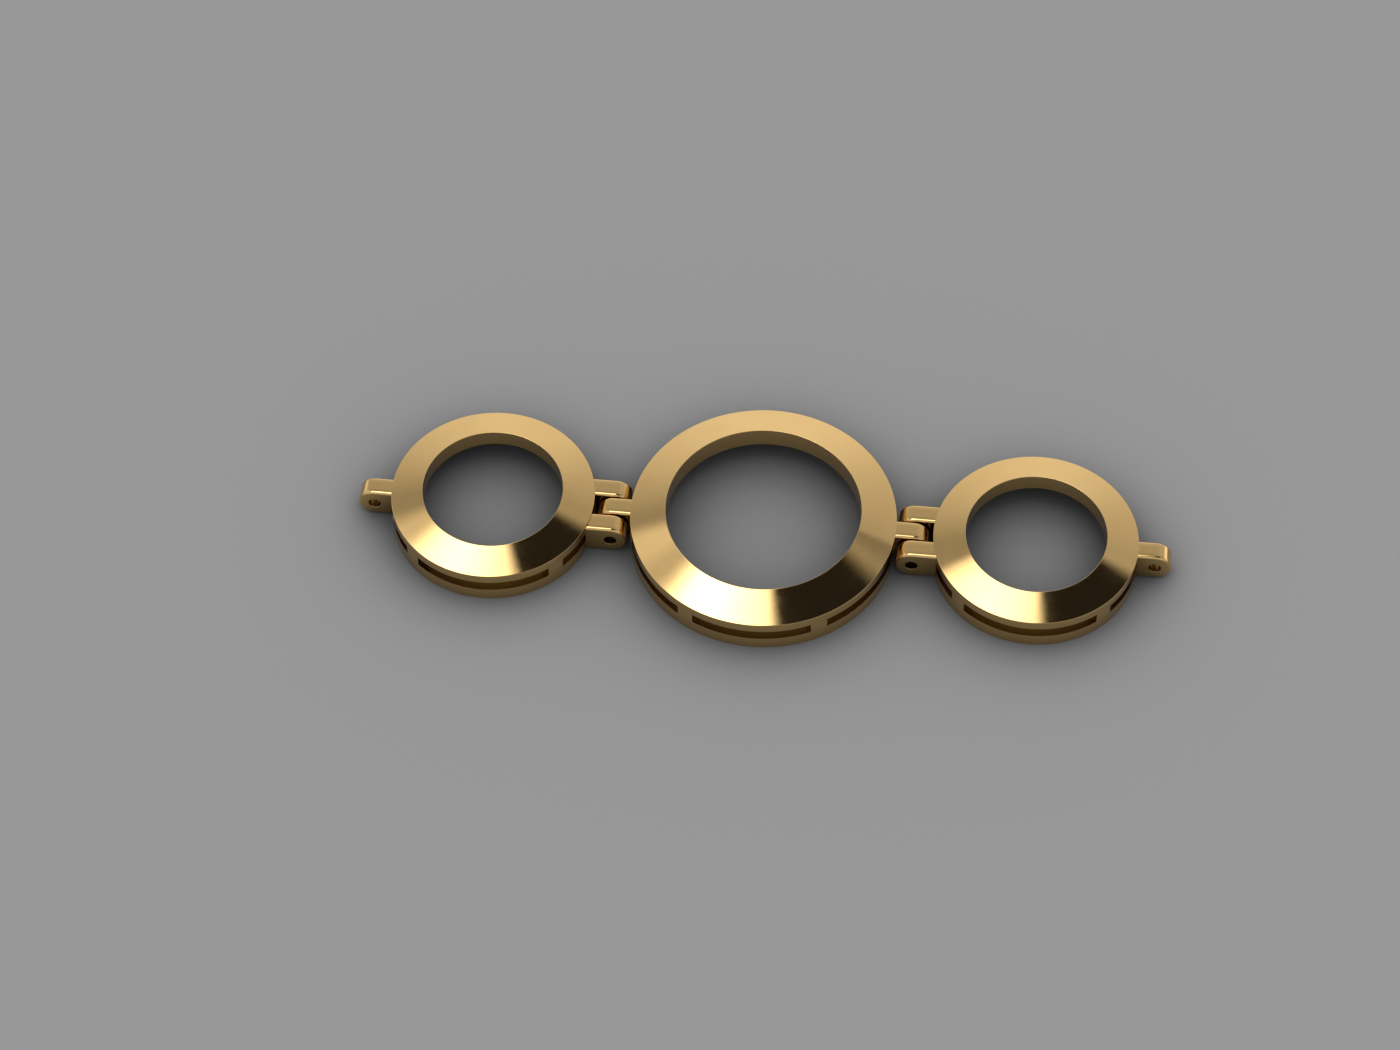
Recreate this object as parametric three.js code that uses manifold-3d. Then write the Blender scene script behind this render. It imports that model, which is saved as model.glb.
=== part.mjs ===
// A hinged three-bezel link for a bracelet or necklace.
//
// Three round bezels lie in a row along X: a large one in the middle and a smaller one
// each side. Every bezel is a bevelled ring plate soldered on a pierced gallery, with its
// middle open to take a cabochon. A hinge joins each small bezel to the middle one: a
// tongue on the middle bezel turns between two ears on the small one, on a swaged pin.
// The two outer ends carry one drilled lug each, for a clasp or the next link.
//
// Units are millimetres. +X runs along the row, +Z is up, and the origin is on the table
// under the centre of the middle bezel.

import * as THREE from 'three';
import { mergeVertices } from 'three/addons/utils/BufferGeometryUtils.js';
import Module from 'manifold-3d';

const wasm = await Module();
wasm.setup();

// ---------------------------------------------------------------- driving dimensions

// The bezels. bars is the number of bars left standing between the gallery's windows, and
// firstBar is the angle of one of them from +X.
const MIDDLE_BEZEL = {
  centreX: 0,
  outerRadius: 12.0,
  openingRadius: 8.8,
  bevelRise: 1.13,
  bars: 6,
  barDegrees: 7.6,
  firstBarDegrees: 0,
  facets: 96,
};
const SMALL_BEZEL = {
  outerRadius: 9.2,
  openingRadius: 6.33,
  bevelRise: 0.79,
  bars: 4,
  barDegrees: 10,
  firstBarDegrees: 45,
  facets: 72,
};
const SMALL_BEZEL_OFFSET = 24.54;

// Heights above the table, the same on all three bezels.
const WINDOW_SILL = 1.32;
const PLATE_UNDERSIDE = 2.37;
const PLATE_EDGE_TOP = 3.32;
const GALLERY_WALL = 1.15;

// How far the flat seat for a stone, on a plate's underside, keeps from the gallery.
const SEAT_CLEARANCE = 0.05;

// Knuckles and end lugs: bars with a full-round nose, drilled across for a pin.
const LUG_BOTTOM = 0.08;
const LUG_TOP = 3.12;
const PIN_AXIS_Z = 1.6;
const NOSE_RADIUS = 1.46;
const BORE_RADIUS = 0.56;
const LUG_FILLET = 0.25;
const HINGE_X = 13.6;
const END_BORE_X = 35.32;
const TONGUE_WIDTH = 1.8;
const EAR_INNER_Y = 1.04;
const EAR_OUTER_Y = 2.85;
const END_LUG_WIDTH = 1.8;

// Hinge pins: a shank that turns in the tongue, swaged thicker inside both ears and set
// below their outer faces.
const PIN_SHANK_RADIUS = 0.5;
const PIN_SWAGED_RADIUS = 0.55;
const PIN_SHANK_HALF = 0.98;
const PIN_HALF_LENGTH = 2.15;

// The solder line between a lug and the wall that it stands on.
const SOLDER_GAP = 0.02;

// Facets, and how far a cutter runs past what it cuts.
const NOSE_SEGMENTS = 7;
const FILLET_SEGMENTS = 2;
const BORE_FACETS = 24;
const CUT_MARGIN = 1;

const GOLD = { color: 0xd8b06a, roughness: 0.22, metalness: 1 };
const PIN_METAL = { color: 0x8c7650, roughness: 0.35, metalness: 1 };

// ---------------------------------------------------------------- solids

function toSolid(geometry) {
  const bare = geometry.clone();
  bare.deleteAttribute('normal');
  bare.deleteAttribute('uv');
  const merged = mergeVertices(bare);
  return new wasm.Manifold(new wasm.Mesh({
    numProp: 3,
    vertProperties: Float32Array.from(merged.attributes.position.array),
    triVerts: Uint32Array.from(merged.index.array),
  }));
}

function toGeometry(solid) {
  const mesh = solid.getMesh();
  const geometry = new THREE.BufferGeometry();
  geometry.setAttribute('position', new THREE.BufferAttribute(mesh.vertProperties, 3));
  geometry.setIndex(new THREE.BufferAttribute(mesh.triVerts, 1));
  geometry.computeVertexNormals();
  return geometry;
}

// Turns a closed profile of [radius, height] points about the Z axis.
function revolve(profile, facets) {
  const closed = [...profile, profile[0]].map(([r, z]) => new THREE.Vector2(r, z));
  const geometry = new THREE.LatheGeometry(closed, facets);
  geometry.rotateX(Math.PI / 2);
  return toSolid(geometry);
}

// A plain upright post, used to cut lug roots to the wall they meet.
function post(radius, low, high, facets) {
  return revolve([[0, low], [radius, low], [radius, high], [0, high]], facets);
}

// A cylinder along Y through (x, z), from y = low to y = high.
function crossBar(x, z, radius, low, high) {
  const geometry = new THREE.CylinderGeometry(radius, radius, high - low, BORE_FACETS);
  geometry.translate(x, (low + high) / 2, z);
  return toSolid(geometry);
}

// ---------------------------------------------------------------- bezels

// The underside has two rings of faces: the stone's seat, and the land on the gallery.
function bezelPlate(bezel) {
  const seatRadius = bezel.outerRadius - GALLERY_WALL - SEAT_CLEARANCE;
  return revolve([
    [bezel.openingRadius, PLATE_UNDERSIDE],
    [seatRadius, PLATE_UNDERSIDE],
    [bezel.outerRadius, PLATE_UNDERSIDE],
    [bezel.outerRadius, PLATE_EDGE_TOP],
    [bezel.openingRadius, PLATE_EDGE_TOP + bezel.bevelRise],
  ], bezel.facets);
}

// The block that opens one window: a sector of a ring, from one bar's side to the next.
function windowCutter(bezel, startDegrees, endDegrees) {
  const start = THREE.MathUtils.degToRad(startDegrees);
  const end = THREE.MathUtils.degToRad(endDegrees);
  const sector = new THREE.Shape();
  sector.absarc(0, 0, bezel.outerRadius + CUT_MARGIN, start, end, false);
  sector.absarc(0, 0, bezel.outerRadius - GALLERY_WALL - CUT_MARGIN, end, start, true);
  sector.closePath();
  const geometry = new THREE.ExtrudeGeometry(sector, {
    depth: PLATE_UNDERSIDE - WINDOW_SILL + CUT_MARGIN,
    bevelEnabled: false,
    curveSegments: 12,
  });
  geometry.translate(0, 0, WINDOW_SILL);
  return toSolid(geometry);
}

// A short tube, open below, whose windows are notches that the plate closes on top.
function gallery(bezel) {
  const inner = bezel.outerRadius - GALLERY_WALL;
  let tube = revolve([
    [inner, 0],
    [bezel.outerRadius, 0],
    [bezel.outerRadius, PLATE_UNDERSIDE],
    [inner, PLATE_UNDERSIDE],
  ], bezel.facets);
  const pitch = 360 / bezel.bars;
  for (let i = 0; i < bezel.bars; i += 1) {
    const bar = bezel.firstBarDegrees + i * pitch;
    const start = bar + bezel.barDegrees / 2;
    const end = bar + pitch - bezel.barDegrees / 2;
    tube = tube.subtract(windowCutter(bezel, start, end));
  }
  return tube;
}

// ---------------------------------------------------------------- lugs and knuckles

// The side outline of a lug in X and Z, from its root to the nose round its bore.
// side is +1 where the nose points to +X, and -1 where it points to -X.
function lugOutline(rootX, boreX, side) {
  const quarter = Math.PI / 2;
  const upperZ = LUG_TOP - NOSE_RADIUS;
  const lowerZ = LUG_BOTTOM + NOSE_RADIUS;
  const outline = new THREE.Shape();
  outline.moveTo(rootX, LUG_BOTTOM);
  outline.lineTo(boreX, LUG_BOTTOM);
  if (side > 0) {
    outline.absarc(boreX, lowerZ, NOSE_RADIUS, -quarter, 0, false);
    outline.absarc(boreX, upperZ, NOSE_RADIUS, 0, quarter, false);
  } else {
    outline.absarc(boreX, lowerZ, NOSE_RADIUS, -quarter, -2 * quarter, true);
    outline.absarc(boreX, upperZ, NOSE_RADIUS, 2 * quarter, quarter, true);
  }
  outline.lineTo(rootX, LUG_TOP);
  outline.closePath();
  return outline;
}

// A lug between y = low and y = high, with rounded edges and a cross bore, standing on
// the wall of a bezel whose centre is at bezelX.
function lug(boreX, low, high, bezel, bezelX) {
  const side = Math.sign(boreX - bezelX);
  const rootX = bezelX + side * (bezel.outerRadius - CUT_MARGIN);
  const geometry = new THREE.ExtrudeGeometry(lugOutline(rootX, boreX, side), {
    depth: high - low - 2 * LUG_FILLET,
    bevelThickness: LUG_FILLET,
    bevelSize: LUG_FILLET,
    bevelOffset: -LUG_FILLET,
    bevelSegments: FILLET_SEGMENTS,
    curveSegments: NOSE_SEGMENTS,
  });
  geometry.translate(0, 0, LUG_FILLET);
  geometry.rotateX(Math.PI / 2);
  geometry.translate(0, high, 0);
  const reach = [LUG_BOTTOM - CUT_MARGIN, LUG_TOP + CUT_MARGIN];
  const wall = post(bezel.outerRadius + SOLDER_GAP, ...reach, bezel.facets);
  const bore = crossBar(boreX, PIN_AXIS_Z, BORE_RADIUS, low - CUT_MARGIN, high + CUT_MARGIN);
  return toSolid(geometry).subtract(wall.translate(bezelX, 0, 0)).subtract(bore);
}

// The pin lies along Y: thick in the ears, thin where the tongue turns on it.
function hingePin(hingeX) {
  const middle = crossBar(hingeX, PIN_AXIS_Z, PIN_SHANK_RADIUS, -PIN_HALF_LENGTH, PIN_HALF_LENGTH);
  const back = crossBar(hingeX, PIN_AXIS_Z, PIN_SWAGED_RADIUS, PIN_SHANK_HALF, PIN_HALF_LENGTH);
  const front = crossBar(hingeX, PIN_AXIS_Z, PIN_SWAGED_RADIUS, -PIN_HALF_LENGTH, -PIN_SHANK_HALF);
  return middle.add(back).add(front);
}

// ---------------------------------------------------------------- assembly

const link = new THREE.Group();

function addPiece(name, solid, finish, centreX = 0) {
  const mesh = new THREE.Mesh(toGeometry(solid), new THREE.MeshStandardMaterial(finish));
  mesh.name = name;
  mesh.position.x = centreX;
  link.add(mesh);
}

function addMiddle() {
  addPiece('middle_bezel_plate', bezelPlate(MIDDLE_BEZEL), GOLD);
  addPiece('middle_gallery', gallery(MIDDLE_BEZEL), GOLD);
  for (const [name, side] of [['left', -1], ['right', 1]]) {
    const half = TONGUE_WIDTH / 2;
    const tongue = lug(side * HINGE_X, -half, half, MIDDLE_BEZEL, MIDDLE_BEZEL.centreX);
    addPiece(`${name}_hinge_tongue`, tongue, GOLD);
  }
}

function addSmall(name, side) {
  const x = side * SMALL_BEZEL_OFFSET;
  const endHalf = END_LUG_WIDTH / 2;
  const hingeX = side * HINGE_X;
  addPiece(`${name}_bezel_plate`, bezelPlate(SMALL_BEZEL), GOLD, x);
  addPiece(`${name}_gallery`, gallery(SMALL_BEZEL), GOLD, x);
  addPiece(`${name}_front_ear`, lug(hingeX, -EAR_OUTER_Y, -EAR_INNER_Y, SMALL_BEZEL, x), GOLD);
  addPiece(`${name}_back_ear`, lug(hingeX, EAR_INNER_Y, EAR_OUTER_Y, SMALL_BEZEL, x), GOLD);
  addPiece(`${name}_end_lug`, lug(side * END_BORE_X, -endHalf, endHalf, SMALL_BEZEL, x), GOLD);
  addPiece(`${name}_hinge_pin`, hingePin(hingeX), PIN_METAL);
}

addMiddle();
addSmall('left', -1);
addSmall('right', 1);

export default link;
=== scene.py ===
"""A hinged gold link of three open bezels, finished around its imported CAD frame.

The row lies along X, the hinge pins lie along Y and Z is up. Sizes below are in
millimetres, and meshes are scaled to metres as they are made.
"""

import math

import bmesh
import bpy
from mathutils import Matrix, Vector


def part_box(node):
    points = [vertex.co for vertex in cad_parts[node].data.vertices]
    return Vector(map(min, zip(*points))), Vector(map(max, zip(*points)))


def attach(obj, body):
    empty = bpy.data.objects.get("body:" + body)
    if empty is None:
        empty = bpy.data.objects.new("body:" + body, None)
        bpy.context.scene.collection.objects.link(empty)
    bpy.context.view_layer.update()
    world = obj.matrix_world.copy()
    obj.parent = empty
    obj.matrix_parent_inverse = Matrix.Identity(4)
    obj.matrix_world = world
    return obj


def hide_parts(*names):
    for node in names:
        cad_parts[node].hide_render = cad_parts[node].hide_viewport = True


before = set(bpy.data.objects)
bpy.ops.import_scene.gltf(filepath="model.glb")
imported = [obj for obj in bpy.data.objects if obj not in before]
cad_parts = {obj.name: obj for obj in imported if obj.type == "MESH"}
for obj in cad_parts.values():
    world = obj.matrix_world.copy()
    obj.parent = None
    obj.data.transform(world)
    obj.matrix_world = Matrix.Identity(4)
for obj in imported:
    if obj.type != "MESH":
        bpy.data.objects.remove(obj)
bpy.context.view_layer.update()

MM = 0.001

# ---------------------------------------------------------------- sizes, in millimetres

# What the frame's boxes can't say about the bezels.
OPENING_RADIUS = {"middle": 8.8, "left": 6.33, "right": 6.33}
BAR_COUNT = {"middle": 6, "left": 4, "right": 4}
BAR_DEGREES = {"middle": 7.6, "left": 10.0, "right": 10.0}
FIRST_BAR_DEGREES = {"middle": 0.0, "left": 45.0, "right": 45.0}
PLATE_EDGE_TOP = 3.32
WINDOW_SILL = 1.32
GALLERY_WALL = 1.15

# What the boxes can't say about the lugs and the pins.
NOSE_RADIUS = 1.46
PIN_AXIS_Z = 1.6
BORE_RADIUS = 0.56
PIN_SHANK_RADIUS = 0.5
PIN_SWAGED_RADIUS = 0.55
PIN_SHANK_HALF = 0.98

# Broken and rounded edges.
BEVEL_EDGE_BREAK = 0.035
UNDERSIDE_BREAK = 0.02
LUG_FILLET = 0.25
BORE_CHAMFER = 0.015
PIN_END_ROUNDING = 0.08

# Mesh fineness. FLAT_PIN is how far past a small arc an extra point pins the flat beside it,
# and FLAT_WEIGHT is how strongly shading favours the flats.
TURN_STEPS = {"middle": 288, "left": 240, "right": 240}
CORNER_STEPS = 4
FLAT_PIN = 0.02
NOSE_STEPS = 14
LUG_FILLET_STEPS = 7
BAND_STEPS = 4
BORE_STEPS = 48
WELD_DISTANCE = 1e-5
CREASE_ANGLE = math.radians(40)
FLAT_WEIGHT = 100

# ---------------------------------------------------------------- camera

CAMERA_AZIMUTH = 6.540
CAMERA_ELEVATION = 54.113
CAMERA_ROLL = -0.538
CAMERA_DISTANCE = 394.23
CAMERA_TARGET = (-5.571, -1.562, 3.32)
CAMERA_LENS = 112.84
CAMERA_SENSOR = 36.0
CAMERA_NEAR = 10.0
CAMERA_FAR = 20000.0


def add_camera():
    azimuth = math.radians(CAMERA_AZIMUTH)
    elevation = math.radians(CAMERA_ELEVATION)
    back = Vector((
        math.sin(azimuth) * math.cos(elevation),
        -math.cos(azimuth) * math.cos(elevation),
        math.sin(elevation),
    ))
    right = Vector((math.cos(azimuth), math.sin(azimuth), 0.0))
    up = back.cross(right)
    axes = Matrix((right, up, back)).transposed()
    turned = axes @ Matrix.Rotation(math.radians(CAMERA_ROLL), 3, "Z")
    data = bpy.data.cameras.new("camera")
    data.lens = CAMERA_LENS
    data.sensor_width = CAMERA_SENSOR
    data.clip_start = CAMERA_NEAR * MM
    data.clip_end = CAMERA_FAR * MM
    camera = bpy.data.objects.new("camera", data)
    bpy.context.scene.collection.objects.link(camera)
    place = (Vector(CAMERA_TARGET) + back * CAMERA_DISTANCE) * MM
    camera.matrix_world = Matrix.Translation(place) @ turned.to_4x4()
    bpy.context.scene.camera = camera


# ---------------------------------------------------------------- shader wiring


def link_or_set(tree, socket, value):
    if isinstance(value, bpy.types.NodeSocket):
        tree.links.new(value, socket)
    else:
        socket.default_value = value


def math_node(tree, operation, *values):
    node = tree.nodes.new("ShaderNodeMath")
    node.operation = operation
    for socket, value in zip(node.inputs, values):
        link_or_set(tree, socket, value)
    return node.outputs[0]


def remap(tree, value, start, end, low=0.0, high=1.0, smooth=True):
    """Maps value from start..end onto low..high, and holds it there outside."""
    node = tree.nodes.new("ShaderNodeMapRange")
    node.interpolation_type = "SMOOTHSTEP" if smooth else "LINEAR"
    link_or_set(tree, node.inputs["Value"], value)
    node.inputs["From Min"].default_value = start
    node.inputs["From Max"].default_value = end
    node.inputs["To Min"].default_value = low
    node.inputs["To Max"].default_value = high
    return node.outputs["Result"]


def product(tree, *values):
    result = values[0]
    for value in values[1:]:
        result = math_node(tree, "MULTIPLY", result, value)
    return result


def blend_values(tree, mask, below, above):
    """below where mask is 0, above where it is 1."""
    node = tree.nodes.new("ShaderNodeMix")
    node.data_type = "FLOAT"
    link_or_set(tree, node.inputs[0], mask)
    link_or_set(tree, node.inputs[2], below)
    link_or_set(tree, node.inputs[3], above)
    return node.outputs[0]


# ---------------------------------------------------------------- studio light

# The world is the studio: a strength of white light for every direction (x, y, z). A ramp
# below runs from its first value to its second.

# The room is a soft grey: dim overhead, bright low at the back and middling in front. Its
# right side is lifted, by up to RIGHT_LIFT_LIMIT times RIGHT_LIFT, and where y is past
# RIGHT_LIFT_END it is lowered.
ROOM_DIM = 0.426
ROOM_BRIGHT = 1.108
ROOM_FRONT = 0.72
BACK_RAMP = (0.52, 0.96)
FRONT_RAMP = (0.25, -0.05)
RIGHT_RAMP = (0.15, 0.5)
RIGHT_LIFT = 0.86
RIGHT_LIFT_LIMIT = 0.2
RIGHT_LIFT_END = 0.70

# A round patch of light stands low at the back on each side. It is full out to PATCH_CORE
# of its radius, and fades from there.
SIDE_PATCHES = [
    {"towards": (0.82, 0.53, 0.10), "half_degrees": 19, "glow": 1.36},
    {"towards": (-0.86, 0.48, 0.16), "half_degrees": 17, "glow": 0.93},
]
PATCH_CORE = 0.6

# Four panels hang overhead: a softbox to the left, a fill panel beyond it, a black flag to
# its right, and a dim corner panel beyond that. Their edges lie on the plane one unit above
# the object, as x over z (across) and y over z (along), and they fade out at the horizon.
SOFTBOX = {"left": -0.565, "right": 0.0655, "front": -0.22, "back": 0.44, "softness": 0.042}
FILL_PANEL = {"left": -1.6, "right": -0.52, "front": -0.5, "back": 2.0, "softness": 0.02}
FLAG = {"left": -0.02, "right": 0.596, "front": -0.6, "back": 0.411, "softness": 0.066}
CORNER = {"left": 0.64, "right": 1.2, "front": 0.0, "back": 0.70, "softness": 0.04}
HORIZON_RAMP = (0.1, 0.2)
LEAST_HEIGHT = 0.02

# The softbox is full in the middle, with a hot core over its lamp. Its right ramp slants.
SOFTBOX_EDGE_GLOW = 1.41
SOFTBOX_FULL_GLOW = 3.54
SOFTBOX_LEFT_RAMP = (-0.55, -0.44)
SOFTBOX_BACK_RAMP = (0.44, 0.25)
SOFTBOX_RIGHT_RAMP = (0.0775, -0.0825)
SOFTBOX_RIGHT_SLANT = 0.25
SOFTBOX_RIGHT_LEAST = 0.3
SOFTBOX_CORE = (-0.34, -0.055)
SOFTBOX_CORE_RADIUS = 0.27
SOFTBOX_CORE_GLOW = 2.83

# The fill panel is cut off along a slanting line, and brightens towards the back.
FILL_CUT_SLANT = 0.83
FILL_CUT = (-0.005, -0.13)
FILL_RAMP = (0.26, 0.42)
FILL_GLOWS = (0.77, 1.02)

# The flag's front and back edges slant.
FLAG_SLANT = -0.26
FLAG_GLOW = 0.022
CORNER_GLOW = 0.32

# Light reflected more than once is dimmed, over this stretch of the count of reflections.
REPEAT_RAMP = (1.75, 3.25)
REPEAT_DIMMING = 0.2

# The floor's own grey, and the grey that it and everything round it are seen as.
FLOOR_GREY = 0.80
SEEN_GREY = 0.314


def panel_mask(tree, across, along, panel):
    """1 inside a soft-edged rectangle of the plane overhead, and 0 outside."""
    soft = panel["softness"]
    return product(
        tree,
        remap(tree, across, panel["left"] - soft, panel["left"] + soft),
        remap(tree, across, panel["right"] - soft, panel["right"] + soft, 1.0, 0.0),
        remap(tree, along, panel["front"] - soft, panel["front"] + soft),
        remap(tree, along, panel["back"] - soft, panel["back"] + soft, 1.0, 0.0),
    )


def patch_mask(tree, direction, patch):
    """1 in the middle of a round patch of the sky, and 0 outside it."""
    node = tree.nodes.new("ShaderNodeVectorMath")
    node.operation = "DOT_PRODUCT"
    tree.links.new(direction, node.inputs[0])
    node.inputs[1].default_value = Vector(patch["towards"]).normalized()
    inner = math.cos(math.radians(patch["half_degrees"] * PATCH_CORE))
    outer = math.cos(math.radians(patch["half_degrees"]))
    return remap(tree, node.outputs["Value"], outer, inner)


def slanted(tree, value, other, slant):
    """value with slant times other added, which slants an edge drawn at a fixed value."""
    return math_node(tree, "MULTIPLY_ADD", other, slant, value)


def plane_distance(tree, across, along, centre):
    """How far a point of the plane overhead lies from centre."""
    offset_across = math_node(tree, "SUBTRACT", across, centre[0])
    offset_along = math_node(tree, "SUBTRACT", along, centre[1])
    squares = math_node(
        tree, "ADD",
        product(tree, offset_across, offset_across),
        product(tree, offset_along, offset_along),
    )
    return math_node(tree, "SQRT", squares)


def room_glow(tree, x, y):
    glow = remap(tree, y, *BACK_RAMP, ROOM_DIM, ROOM_BRIGHT, smooth=False)
    right = remap(tree, x, *RIGHT_RAMP)
    lift = math_node(tree, "SUBTRACT", RIGHT_LIFT_END, y)
    lift = math_node(tree, "MINIMUM", lift, RIGHT_LIFT_LIMIT)
    glow = math_node(tree, "ADD", glow, product(tree, right, lift, RIGHT_LIFT))
    return blend_values(tree, remap(tree, y, *FRONT_RAMP), glow, ROOM_FRONT)


def softbox_glow(tree, across, along):
    """Full in the middle, dimmer towards three edges, with a hot core over its lamp."""
    right = slanted(tree, across, along, SOFTBOX_RIGHT_SLANT)
    full = product(
        tree,
        remap(tree, across, *SOFTBOX_LEFT_RAMP, smooth=False),
        remap(tree, right, *SOFTBOX_RIGHT_RAMP, SOFTBOX_RIGHT_LEAST, 1.0, smooth=False),
        remap(tree, along, *SOFTBOX_BACK_RAMP, smooth=False),
    )
    glow = blend_values(tree, full, SOFTBOX_EDGE_GLOW, SOFTBOX_FULL_GLOW)
    away = plane_distance(tree, across, along, SOFTBOX_CORE)
    core = remap(tree, away, SOFTBOX_CORE_RADIUS, 0.0, 0.0, SOFTBOX_CORE_GLOW, smooth=False)
    return math_node(tree, "ADD", glow, product(tree, core, full))


def studio_glow(tree, direction):
    """The room, with its patches and panels each laid over what comes before."""
    split = tree.nodes.new("ShaderNodeSeparateXYZ")
    tree.links.new(direction, split.inputs[0])
    x, y, z = split.outputs
    height = math_node(tree, "MAXIMUM", z, LEAST_HEIGHT)
    across = math_node(tree, "DIVIDE", x, height)
    along = math_node(tree, "DIVIDE", y, height)
    above = remap(tree, z, *HORIZON_RAMP)

    glow = room_glow(tree, x, y)
    for patch in SIDE_PATCHES:
        glow = blend_values(tree, patch_mask(tree, direction, patch), glow, patch["glow"])

    corner = product(tree, panel_mask(tree, across, along, CORNER), above)
    glow = blend_values(tree, corner, glow, CORNER_GLOW)

    fill_cut = remap(tree, slanted(tree, along, across, FILL_CUT_SLANT), *FILL_CUT)
    fill = product(tree, panel_mask(tree, across, along, FILL_PANEL), fill_cut, above)
    fill_glow = remap(tree, along, *FILL_RAMP, *FILL_GLOWS, smooth=False)
    glow = blend_values(tree, fill, glow, fill_glow)

    flag_along = slanted(tree, along, across, FLAG_SLANT)
    flag = product(tree, panel_mask(tree, across, flag_along, FLAG), above)
    glow = blend_values(tree, flag, glow, FLAG_GLOW)

    softbox = product(tree, panel_mask(tree, across, along, SOFTBOX), above)
    return blend_values(tree, softbox, glow, softbox_glow(tree, across, along))


def glow_by_ray(tree, glow):
    """Reflections see the studio, the floor an even light, and the camera the floor's grey."""
    path = tree.nodes.new("ShaderNodeLightPath").outputs
    repeats = path["Glossy Depth"]
    glow = product(
        tree, glow, remap(tree, repeats, *REPEAT_RAMP, 1.0, REPEAT_DIMMING, smooth=False))
    glow = blend_values(tree, path["Is Glossy Ray"], SEEN_GREY / FLOOR_GREY, glow)
    return blend_values(tree, path["Is Camera Ray"], glow, SEEN_GREY)


def add_studio_light():
    world = bpy.data.worlds.new("studio")
    bpy.context.scene.world = world
    world.use_nodes = True
    world.cycles.sampling_method = "NONE"
    tree = world.node_tree
    tree.nodes.clear()
    direction = tree.nodes.new("ShaderNodeTexCoord").outputs["Generated"]
    glow = glow_by_ray(tree, studio_glow(tree, direction))
    background = tree.nodes.new("ShaderNodeBackground")
    background.inputs["Color"].default_value = (1, 1, 1, 1)
    tree.links.new(glow, background.inputs["Strength"])
    output = tree.nodes.new("ShaderNodeOutputWorld")
    tree.links.new(background.outputs[0], output.inputs["Surface"])


# ---------------------------------------------------------------- materials

# Each pair is a light tone and a deep one.
GOLD_TONES = ((0.70, 0.470, 0.196), (0.685, 0.455, 0.187))
SATIN_TONES = ((0.77, 0.52, 0.22), (0.755, 0.505, 0.21))
# Painted light: a brighter gold for the sills and the plate's underside, which lifts the dim
# windows.
PAINTED_LIGHT_TONES = ((0.95, 0.66, 0.30), (0.93, 0.64, 0.285))
# Painted shade: a darker gold for the bores, where shade falls inside the holes; it is also
# rougher.
BORE_SHADE_TONES = ((0.48, 0.34, 0.16), (0.45, 0.315, 0.145))
# Painted shade: a near-black pin, which shows as the shade inside the hinge bores.
PIN_SHADE_TONES = ((0.028, 0.023, 0.017), (0.018, 0.015, 0.011))

# Roughness is a lowest and a highest value. Brushing is how closely the polishing lines are
# packed along X, Y and Z: a value under 1 draws them out.
FINISHES = {
    "bezel_gold": {"tones": GOLD_TONES, "roughness": (0.05, 0.09), "brushing": (1, 1, 1)},
    "gallery_gold": {"tones": SATIN_TONES, "roughness": (0.10, 0.16), "brushing": (1, 1, 6)},
    "knuckle_gold": {"tones": GOLD_TONES, "roughness": (0.06, 0.10), "brushing": (0.3, 2, 2)},
    # The last three finishes carry painted light and shade: a brighter gold on the window
    # faces, a darker gold in the bores and a near-black pin.
    "painted_light_gold": {"tones": PAINTED_LIGHT_TONES, "roughness": (0.10, 0.16), "brushing": (1, 1, 1)},
    "bore_shade_gold": {"tones": BORE_SHADE_TONES, "roughness": (0.16, 0.24), "brushing": (1, 6, 1)},
    "pin_metal": {"tones": PIN_SHADE_TONES, "roughness": (0.25, 0.40), "brushing": (3, 0.2, 3)},
}

# Noise scales are per metre, and NOISE_RAMP is the middle stretch of a noise that is used.
TONE_NOISE = {"scale": 260, "detail": 3, "roughness": 0.5}
LINE_NOISE = {"scale": 2600, "detail": 3, "roughness": 0.6}
PATCH_NOISE = {"scale": 700, "detail": 2, "roughness": 0.5}
NOISE_RAMP = (0.35, 0.65)
LINE_SHARE = 0.5
LINE_STRENGTH = 0.06
LINE_DEPTH = 0.01

# The place of a piece's second material among its materials: the painted-light gold on a
# bezel's flat faces, or the painted-shade gold in a lug's bore.
SECOND_MATERIAL = 1


def new_material(name):
    material = bpy.data.materials.new(name)
    material.use_nodes = True
    tree = material.node_tree
    shader = tree.nodes["Principled BSDF"]
    return material, tree, shader


def noise(tree, coordinates, scale, detail, roughness):
    node = tree.nodes.new("ShaderNodeTexNoise")
    node.inputs["Scale"].default_value = scale
    node.inputs["Detail"].default_value = detail
    node.inputs["Roughness"].default_value = roughness
    tree.links.new(coordinates, node.inputs["Vector"])
    return node.outputs["Fac"]


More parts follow.
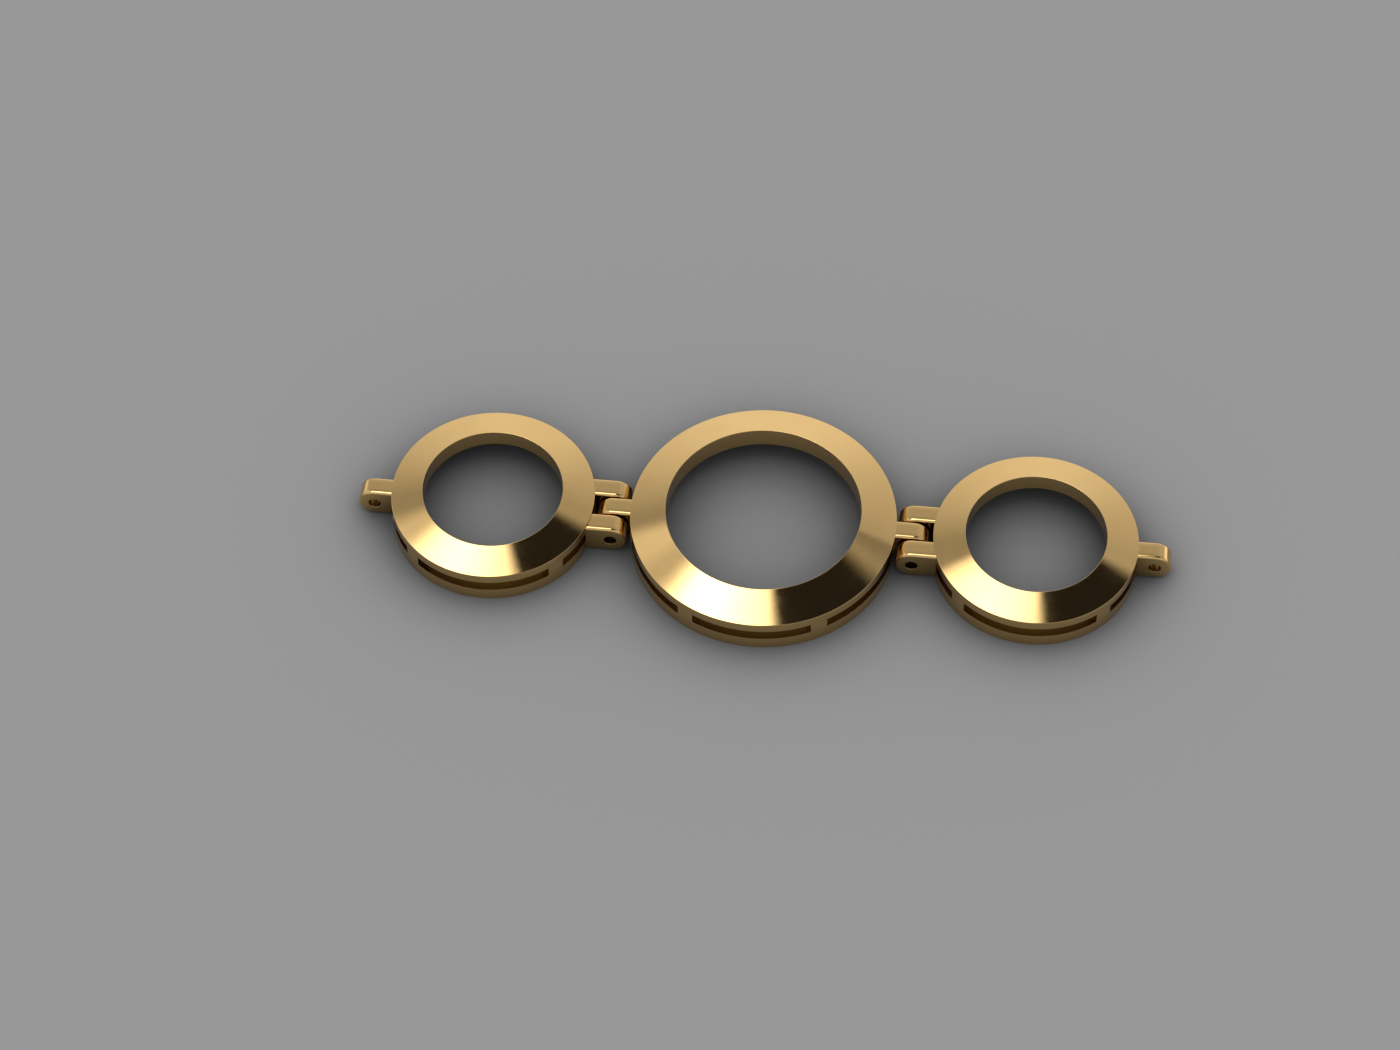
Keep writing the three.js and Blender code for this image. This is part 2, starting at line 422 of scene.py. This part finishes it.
def metal_material(name, tones, roughness, brushing):
    """Worked metal: two close tones, fine polishing lines and softer patches."""
    material, tree, shader = new_material(name)
    place = tree.nodes.new("ShaderNodeTexCoord").outputs["Object"]
    light, deep = tones

    tone = tree.nodes.new("ShaderNodeMix")
    tone.data_type = "RGBA"
    tone.inputs[6].default_value = (*deep, 1)
    tone.inputs[7].default_value = (*light, 1)
    tree.links.new(remap(tree, noise(tree, place, **TONE_NOISE), *NOISE_RAMP), tone.inputs[0])
    tree.links.new(tone.outputs[2], shader.inputs["Base Color"])
    shader.inputs["Metallic"].default_value = 1.0

    packed = tree.nodes.new("ShaderNodeMapping")
    packed.inputs["Scale"].default_value = brushing
    tree.links.new(place, packed.inputs["Vector"])
    lines = noise(tree, packed.outputs[0], **LINE_NOISE)
    patches = noise(tree, place, **PATCH_NOISE)
    soft_share = product(tree, patches, 1 - LINE_SHARE)
    mixed = math_node(tree, "MULTIPLY_ADD", lines, LINE_SHARE, soft_share)
    tree.links.new(remap(tree, mixed, *NOISE_RAMP, *roughness), shader.inputs["Roughness"])

    bump = tree.nodes.new("ShaderNodeBump")
    bump.inputs["Strength"].default_value = LINE_STRENGTH
    bump.inputs["Distance"].default_value = LINE_DEPTH * MM
    tree.links.new(lines, bump.inputs["Height"])
    tree.links.new(bump.outputs["Normal"], shader.inputs["Normal"])
    return material


def make_materials():
    return {name: metal_material(name, **finish) for name, finish in FINISHES.items()}


# ---------------------------------------------------------------- mesh making


def mesh_object(name, bm):
    """Makes an object of bm: faces out, in metres, smooth up to a crease, in the scene."""
    bmesh.ops.recalc_face_normals(bm, faces=bm.faces)
    bmesh.ops.scale(bm, vec=(MM, MM, MM), verts=bm.verts)
    for face in bm.faces:
        face.smooth = True
    for edge in bm.edges:
        edge.smooth = edge.calc_face_angle(0.0) < CREASE_ANGLE
    mesh = bpy.data.meshes.new(name)
    bm.to_mesh(mesh)
    bm.free()
    piece = bpy.data.objects.new(name, mesh)
    bpy.context.scene.collection.objects.link(piece)
    weighted = piece.modifiers.new("even_flats", "WEIGHTED_NORMAL")
    weighted.weight = FLAT_WEIGHT
    weighted.keep_sharp = True
    return piece


def filleted(corners):
    """Rounds every (x, z, radius) corner of a closed outline with an arc.

    A point just outside each end of an arc keeps the flats beside it flat.
    """
    points = []
    for i, (x, z, radius) in enumerate(corners):
        here = Vector((x, z))
        before = (Vector(corners[i - 1][:2]) - here).normalized()
        after = (Vector(corners[(i + 1) % len(corners)][:2]) - here).normalized()
        half = before.angle(after) / 2
        reach = radius / math.tan(half)
        centre = here + (before + after).normalized() * (radius / math.sin(half))
        first = here + before * reach - centre
        turn = first.angle_signed(here + after * reach - centre)
        points.append(here + before * (reach + FLAT_PIN))
        for step in range(CORNER_STEPS + 1):
            spin = Matrix.Rotation(-turn * step / CORNER_STEPS, 2)
            points.append(centre + spin @ first)
        points.append(here + after * (reach + FLAT_PIN))
    return points


def grid_faces(bm, rows, close_rows, close_columns):
    """Makes quads between neighbouring rows of vertices, all of one length."""
    row_count, column_count = len(rows), len(rows[0])
    faces = []
    for i in range(row_count if close_rows else row_count - 1):
        near, far = rows[i], rows[(i + 1) % row_count]
        for j in range(column_count if close_columns else column_count - 1):
            k = (j + 1) % column_count
            faces.append(bm.faces.new((near[j], near[k], far[k], far[j])))
    return faces


def ring_angles(count):
    return [2 * math.pi * i / count for i in range(count)]


# ---------------------------------------------------------------- bezels


def bezel_sizes(name):
    low, high = (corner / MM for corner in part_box(f"{name}_bezel_plate"))
    return {
        "centre_x": (low.x + high.x) / 2,
        "outer": (high.y - low.y) / 2,
        "underside": low.z,
        "lip_top": high.z,
    }


def bezel_plate(name):
    size = bezel_sizes(name)
    profile = filleted([
        (OPENING_RADIUS[name], size["underside"], UNDERSIDE_BREAK),
        (size["outer"], size["underside"], UNDERSIDE_BREAK),
        (size["outer"], PLATE_EDGE_TOP, BEVEL_EDGE_BREAK),
        (OPENING_RADIUS[name], size["lip_top"], BEVEL_EDGE_BREAK),
    ])
    bm = bmesh.new()
    rows = []
    for angle in ring_angles(TURN_STEPS[name]):
        spoke = Vector((math.cos(angle), math.sin(angle)))
        rows.append([
            bm.verts.new((size["centre_x"] + spoke.x * p.x, spoke.y * p.x, p.y))
            for p in profile
        ])
    grid_faces(bm, rows, True, True)
    return mesh_object(f"{name}_bevel_ring", bm)


def gallery_columns(name):
    """The angles of the gallery's columns, and whether a bar stands after each."""
    pitch = 360 / BAR_COUNT[name]
    bar = BAR_DEGREES[name]
    step = 360 / TURN_STEPS[name]
    columns = []
    for i in range(BAR_COUNT[name]):
        start = FIRST_BAR_DEGREES[name] + i * pitch - bar / 2
        for width, offset, is_bar in ((bar, 0, True), (pitch - bar, bar, False)):
            count = max(2, round(width / step))
            for k in range(count):
                angle = math.radians(start + offset + width * k / count)
                columns.append((angle, is_bar))
    return columns


def gallery(name):
    """A short tube with a notch for each window. The bevel ring closes the notches."""
    size = bezel_sizes(name)
    radii = (size["outer"], size["outer"] - GALLERY_WALL)
    columns = gallery_columns(name)
    bm = bmesh.new()

    def stand(angle, radius, z):
        x = size["centre_x"] + radius * math.cos(angle)
        return bm.verts.new((x, radius * math.sin(angle), z))

    count = len(columns)
    tops = {}
    floor_rows, sill_rows = [], []
    for i, (angle, is_bar) in enumerate(columns):
        floor_rows.append([stand(angle, r, 0.0) for r in radii])
        sill_rows.append([stand(angle, r, WINDOW_SILL) for r in radii])
        if is_bar or columns[i - 1][1]:
            tops[i] = [stand(angle, r, size["underside"]) for r in radii]
    for i, (_, is_bar) in enumerate(columns):
        j = (i + 1) % count
        bm.faces.new((floor_rows[i][0], floor_rows[j][0], sill_rows[j][0], sill_rows[i][0]))
        bm.faces.new((floor_rows[i][1], sill_rows[i][1], sill_rows[j][1], floor_rows[j][1]))
        bm.faces.new((floor_rows[i][0], floor_rows[i][1], floor_rows[j][1], floor_rows[j][0]))
        if is_bar:
            bm.faces.new((sill_rows[i][0], sill_rows[j][0], tops[j][0], tops[i][0]))
            bm.faces.new((sill_rows[i][1], tops[i][1], tops[j][1], sill_rows[j][1]))
            bm.faces.new((tops[i][0], tops[j][0], tops[j][1], tops[i][1]))
        else:
            bm.faces.new((sill_rows[i][0], sill_rows[j][0], sill_rows[j][1], sill_rows[i][1]))
        if is_bar != columns[i - 1][1]:
            bm.faces.new((sill_rows[i][0], sill_rows[i][1], tops[i][1], tops[i][0]))
    return mesh_object(f"{name}_gallery_wall", bm)


# ---------------------------------------------------------------- lugs and pins


def lug_outline(bore_x, side, low_z, high_z):
    """Points (x, z) and outward normals, from under the bore round the nose to its top."""
    points = []
    for centre_z, start in ((low_z + NOSE_RADIUS, -90), (high_z - NOSE_RADIUS, 0)):
        for step in range(NOSE_STEPS + 1):
            angle = math.radians(start + 90 * step / NOSE_STEPS)
            normal = Vector((side * math.cos(angle), math.sin(angle)))
            points.append((Vector((bore_x, centre_z)) + normal * NOSE_RADIUS, normal))
    return points


def lug_stations(low_y, high_y):
    """(y, inset) across a lug's width: a fillet, the flat band and the other fillet."""
    rise = []
    for step in range(LUG_FILLET_STEPS + 1):
        angle = math.pi / 2 * step / LUG_FILLET_STEPS
        rise.append((LUG_FILLET * (1 - math.cos(angle)), LUG_FILLET * (1 - math.sin(angle))))
    stations = [(low_y + y, inset) for y, inset in rise]
    first, last = low_y + LUG_FILLET, high_y - LUG_FILLET
    for step in range(1, BAND_STEPS):
        stations.append((first + (last - first) * step / BAND_STEPS, 0.0))
    stations += [(high_y - y, inset) for y, inset in reversed(rise)]
    return stations


def bore_rings(bm, bore_x, low_y, high_y):
    """Rings of vertices through a lug, with a small chamfer at each mouth."""
    mouth = BORE_RADIUS + BORE_CHAMFER
    rings = []
    for y, radius in ((low_y, mouth), (low_y + BORE_CHAMFER, BORE_RADIUS),
                      (high_y - BORE_CHAMFER, BORE_RADIUS), (high_y, mouth)):
        rings.append([
            bm.verts.new((bore_x + radius * math.cos(a), y, PIN_AXIS_Z + radius * math.sin(a)))
            for a in ring_angles(BORE_STEPS)
        ])
    return rings


def loop_edges(bm, loop):
    """The edges round a loop of vertices, made where they are missing."""
    pairs = zip(loop, loop[1:] + loop[:1])
    return [bm.edges.get(pair) or bm.edges.new(pair) for pair in pairs]


def lug(node, bezel, piece_name):
    """A drilled lug with a full-round nose, rooted on its bezel's wall."""
    low, high = (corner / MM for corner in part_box(node))
    size = bezel_sizes(bezel)
    side = 1 if low.x + high.x > 2 * size["centre_x"] else -1
    bore_x = (high.x if side > 0 else low.x) - side * NOSE_RADIUS
    nose = lug_outline(bore_x, side, low.z, high.z)
    bm = bmesh.new()
    rows = []
    for y, inset in lug_stations(low.y, high.y):
        root_x = size["centre_x"] + side * math.sqrt(size["outer"] ** 2 - y ** 2)
        row = [bm.verts.new((root_x, y, low.z + inset))]
        for point, normal in nose:
            inner = point - normal * inset
            row.append(bm.verts.new((inner.x, y, inner.y)))
        row.append(bm.verts.new((root_x, y, high.z - inset)))
        rows.append(row)
    grid_faces(bm, rows, False, False)
    rings = bore_rings(bm, bore_x, low.y, high.y)
    # The bore's faces take the second material, a darker gold painted as shade inside the
    # hole.
    for face in grid_faces(bm, rings, False, True):
        face.material_index = SECOND_MATERIAL
    for row, ring in ((rows[0], rings[0]), (rows[-1], rings[-1])):
        rim = loop_edges(bm, row) + loop_edges(bm, ring)
        bmesh.ops.triangle_fill(bm, use_beauty=True, edges=rim)
    bottom = [row[0] for row in rows]
    top = [row[-1] for row in reversed(rows)]
    bm.faces.new(bottom + top)
    return mesh_object(piece_name, bm)


def hinge_pin(name):
    """A pin along Y with a thinner shank and rounded, swaged ends."""
    low, high = (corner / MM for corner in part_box(f"{name}_hinge_pin"))
    centre_x = (low.x + high.x) / 2
    end = high.y
    profile = [(0.0, -end), (PIN_SWAGED_RADIUS - PIN_END_ROUNDING, -end)]
    for step in range(1, CORNER_STEPS + 1):
        angle = math.pi / 2 * step / CORNER_STEPS
        profile.append((
            PIN_SWAGED_RADIUS - PIN_END_ROUNDING * (1 - math.sin(angle)),
            -end + PIN_END_ROUNDING * (1 - math.cos(angle)),
        ))
    profile += [(PIN_SWAGED_RADIUS, -PIN_SHANK_HALF), (PIN_SHANK_RADIUS, -PIN_SHANK_HALF)]
    profile += [(radius, -y) for radius, y in reversed(profile)]
    bm = bmesh.new()
    rows = [
        [bm.verts.new((centre_x + r * math.cos(a), y, PIN_AXIS_Z + r * math.sin(a)))
         for r, y in profile]
        for a in ring_angles(BORE_STEPS)
    ]
    grid_faces(bm, rows, True, False)
    bmesh.ops.remove_doubles(bm, verts=bm.verts, dist=WELD_DISTANCE)
    return mesh_object(f"{name}_pin", bm)


# ---------------------------------------------------------------- assembly

# A face counts as flat, and takes the painted light, when its normal is this near to straight
# up or down.
FLAT_NORMAL = 0.99


def finish_piece(piece, body, slot, materials, *nodes):
    piece.data.materials.append(materials[slot])
    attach(piece, body)
    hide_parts(*nodes)


def paint_light_on_flat_faces(piece, facing, material):
    """Gives the flat faces that look up (facing 1) or down (-1) a brighter gold, painted light
    that lifts the dim windows.
    """
    piece.data.materials.append(material)
    for face in piece.data.polygons:
        if face.normal.z * facing > FLAT_NORMAL:
            face.material_index = SECOND_MATERIAL


def add_bezel(name, materials):
    """The ring's underside and the windows' sills take a brighter gold, painted light that
    lifts the dim windows.
    """
    plate, wall = bezel_plate(name), gallery(name)
    finish_piece(plate, name, "bezel_gold", materials, f"{name}_bezel_plate")
    finish_piece(wall, name, "gallery_gold", materials, f"{name}_gallery")
    # Painted light: the plate's underside and the sills take a brighter gold, which lifts the
    # dim windows.
    paint_light_on_flat_faces(plate, -1, materials["painted_light_gold"])
    paint_light_on_flat_faces(wall, 1, materials["painted_light_gold"])


def add_lug(node, body, materials):
    """The lug's second material is a darker gold for its bore, painted shade inside the hole;
    the bore's faces are already marked.
    """
    piece = lug(node, body, f"{node}_body")
    finish_piece(piece, body, "knuckle_gold", materials, node)
    piece.data.materials.append(materials["bore_shade_gold"])


def add_object():
    materials = make_materials()
    for name in ("middle", "left", "right"):
        add_bezel(name, materials)
    for name in ("left", "right"):
        add_lug(f"{name}_hinge_tongue", "middle", materials)
        for part in ("front_ear", "back_ear", "end_lug"):
            add_lug(f"{name}_{part}", name, materials)
        pin = f"{name}_hinge_pin"
        # The pin is made near-black, painted shade inside the hinge bores.
        finish_piece(hinge_pin(name), name, "pin_metal", materials, pin)


# ---------------------------------------------------------------- stage

# The contact shadow is painted into the floor's colour: the share of open space within
# CONTACT_REACH, raised to a power, and no darker than CONTACT_DARKEST.
FLOOR_RADIUS = 3000.0
FLOOR_SIDES = 64
FLOOR_DROP = 0.01
CONTACT_REACH = 60.0
CONTACT_SAMPLES = 12
CONTACT_POWER = 0.95
CONTACT_DARKEST = 0.3


def add_floor():
    """A matt disc just under the object, with a painted contact shadow that darkens it where
    the object stands close over it.
    """
    material, tree, shader = new_material("pale_floor")
    # Painted contact shadow: the floor's colour darkens where the object closes it in.
    contact = tree.nodes.new("ShaderNodeAmbientOcclusion")
    contact.samples = CONTACT_SAMPLES
    contact.inputs["Distance"].default_value = CONTACT_REACH * MM
    shade = math_node(tree, "POWER", contact.outputs["AO"], CONTACT_POWER)
    shade = math_node(tree, "MAXIMUM", shade, CONTACT_DARKEST)
    grey = product(tree, shade, FLOOR_GREY)
    colour = tree.nodes.new("ShaderNodeCombineColor")
    for socket in colour.inputs:
        tree.links.new(grey, socket)
    tree.links.new(colour.outputs[0], shader.inputs["Base Color"])
    shader.inputs["Roughness"].default_value = 1.0
    shader.inputs["Specular IOR Level"].default_value = 0.0
    bm = bmesh.new()
    bmesh.ops.create_circle(bm, cap_ends=True, radius=FLOOR_RADIUS, segments=FLOOR_SIDES)
    floor = mesh_object("floor", bm)
    floor.location.z = -FLOOR_DROP * MM
    floor.data.materials.append(material)


def set_scene_looks():
    """Plain colours, and no bright caustics thrown from the gold on the floor."""
    scene = bpy.context.scene
    scene.view_settings.view_transform = "Standard"
    scene.view_settings.look = "None"
    scene.cycles.caustics_reflective = False
    scene.cycles.caustics_refractive = False


add_camera()
add_studio_light()
add_object()
add_floor()
set_scene_looks()
